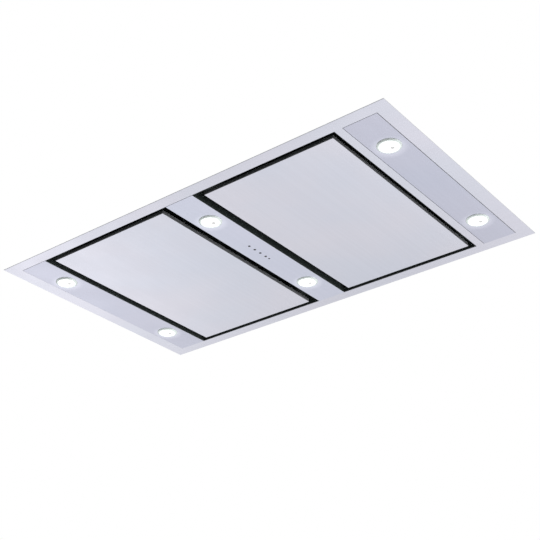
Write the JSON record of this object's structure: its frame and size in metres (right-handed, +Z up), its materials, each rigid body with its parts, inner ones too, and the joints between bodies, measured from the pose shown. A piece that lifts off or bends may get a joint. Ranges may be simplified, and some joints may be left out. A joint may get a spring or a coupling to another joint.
{
  "type": "ceiling range hood",
  "caption": "Flush ceiling range hood with hinged perimeter-suction panels, grease filters, round lamps, push buttons, blower, flapped outlet and hanger brackets.",
  "frame": {"origin": "centre of the ceiling plane, on which the flange's upper face lies", "axes": "+X along the hood's long side, towards the lip bar; +Y across it, towards the outlet; +Z up into the ceiling"},
  "size_m": [1.2, 0.7, 0.3009],
  "materials": {
    "flange_steel": "satin",
    "strip_steel": "satin",
    "panel_steel": "satin",
    "suction_black": "matte",
    "liner_steel": "satin",
    "hinge_steel": "satin",
    "pin_steel": "polished",
    "magnet_housing": "matte",
    "filter_frame": "satin",
    "filter_mesh": "satin",
    "bezel_metal": "satin",
    "lamp_lens": "satin",
    "heat_sink": "matte",
    "button_plastic": "gloss",
    "eye_plastic": "gloss",
    "housing_plastic": "matte",
    "board_green": "satin",
    "switch_black": "matte",
    "case_steel": "satin",
    "bracket_steel": "satin",
    "screw_zinc": "satin",
    "scroll_steel": "satin",
    "wheel_plastic": "satin",
    "motor_metal": "satin",
    "collar_plastic": "satin",
    "flap_plastic": "satin",
    "mains_box_plastic": "satin",
    "capacitor_case": "gloss",
    "terminal_plastic": "satin",
    "gland_plastic": "satin"
  },
  "bodies": {
    "hood": {"face_frame": "flange_steel", "light_strip_left": "strip_steel", "light_strip_right": "strip_steel", "control_strip": "strip_steel", "suction_frame_left": "suction_black", "suction_frame_right": "suction_black", "plenum_walls": "case_steel", "plenum_lid": "case_steel", "blower_cover": "case_steel", "hanger_brackets": "bracket_steel", "case_screws": "screw_zinc", "hinge_brackets": "hinge_steel", "hinge_pins": "pin_steel", "catch_magnets": "magnet_housing", "inlet_ring": "scroll_steel", "scroll_wrap": "scroll_steel", "scroll_lid": "scroll_steel", "motor": "motor_metal", "outlet_collar": "collar_plastic", "flap_pin": "pin_steel", "mains_box": "mains_box_plastic", "mains_box_lid": "mains_box_plastic", "capacitor": "capacitor_case", "terminal_block": "terminal_plastic", "cable_gland": "gland_plastic", "control_housing": "housing_plastic", "control_board": "board_green", "tact_switches": "switch_black", "receiver_eye": "eye_plastic", "lamp_heat_sinks": "heat_sink", "lamp_bezel_left_near": "bezel_metal", "lamp_bezel_left_far": "bezel_metal", "lamp_bezel_middle_near": "bezel_metal", "lamp_bezel_middle_far": "bezel_metal", "lamp_bezel_right_near": "bezel_metal", "lamp_bezel_right_far": "bezel_metal", "lamp_lens_left_near": "lamp_lens", "lamp_lens_left_far": "lamp_lens", "lamp_lens_middle_near": "lamp_lens", "lamp_lens_middle_far": "lamp_lens", "lamp_lens_right_near": "lamp_lens", "lamp_lens_right_far": "lamp_lens"},
    "panel_left": {"panel_left": "panel_steel", "panel_liner_left": "liner_steel", "hinge_leaves_left": "hinge_steel"},
    "panel_right": {"panel_right": "panel_steel", "panel_liner_right": "liner_steel", "hinge_leaves_right": "hinge_steel"},
    "filter_left": {"filter_frame_left": "filter_frame", "filter_mesh_left": "filter_mesh"},
    "filter_right": {"filter_frame_right": "filter_frame", "filter_mesh_right": "filter_mesh"},
    "blower_wheel": {"blower_wheel": "wheel_plastic", "motor_shaft": "pin_steel"},
    "flap_left": {"flap_left": "flap_plastic"},
    "flap_right": {"flap_right": "flap_plastic"},
    "push_button_1": {"push_button_1": "button_plastic"},
    "push_button_2": {"push_button_2": "button_plastic"},
    "push_button_3": {"push_button_3": "button_plastic"},
    "push_button_4": {"push_button_4": "button_plastic"}
  },
  "joints": [
    {"name": "panel_left_hinge", "type": "hinge", "parent": "hood", "child": "panel_left", "pos_m": [-0.0775, 0, 0.0168], "axis": [0, -1, 0], "range_deg": [0, 85]},
    {"name": "panel_right_hinge", "type": "hinge", "parent": "hood", "child": "panel_right", "pos_m": [0.073, 0, 0.0168], "axis": [0, 1, 0], "range_deg": [0, 85]},
    {"name": "filter_left_lift", "type": "slide", "parent": "hood", "child": "filter_left", "axis": [0, 0, 1], "range_m": [0, 0.012]},
    {"name": "filter_right_lift", "type": "slide", "parent": "hood", "child": "filter_right", "axis": [0, 0, 1], "range_m": [0, 0.012]},
    {"name": "blower_spin", "type": "hinge", "parent": "hood", "child": "blower_wheel", "pos_m": [-0.027, -0.0069, 0.1892], "axis": [0, 0, 1], "continuous": true},
    {"name": "flap_left_swing", "type": "hinge", "parent": "hood", "child": "flap_left", "pos_m": [0.085, 0.1773, 0.2022], "axis": [0, 0, -1], "range_deg": [0, 75], "stiffness_Nm_per_rad": 0.01, "springref_deg": -11.46},
    {"name": "flap_right_swing", "type": "hinge", "parent": "hood", "child": "flap_right", "pos_m": [0.085, 0.1773, 0.2022], "axis": [0, 0, 1], "range_deg": [0, 75], "stiffness_Nm_per_rad": 0.01, "springref_deg": -11.46},
    {"name": "push_button_1_press", "type": "slide", "parent": "hood", "child": "push_button_1", "axis": [0, 0, 1], "range_m": [0, 0.0012], "stiffness_N_per_m": 300, "springref_m": -0.001},
    {"name": "push_button_2_press", "type": "slide", "parent": "hood", "child": "push_button_2", "axis": [0, 0, 1], "range_m": [0, 0.0012], "stiffness_N_per_m": 300, "springref_m": -0.001},
    {"name": "push_button_3_press", "type": "slide", "parent": "hood", "child": "push_button_3", "axis": [0, 0, 1], "range_m": [0, 0.0012], "stiffness_N_per_m": 300, "springref_m": -0.001},
    {"name": "push_button_4_press", "type": "slide", "parent": "hood", "child": "push_button_4", "axis": [0, 0, 1], "range_m": [0, 0.0012], "stiffness_N_per_m": 300, "springref_m": -0.001}
  ]
}
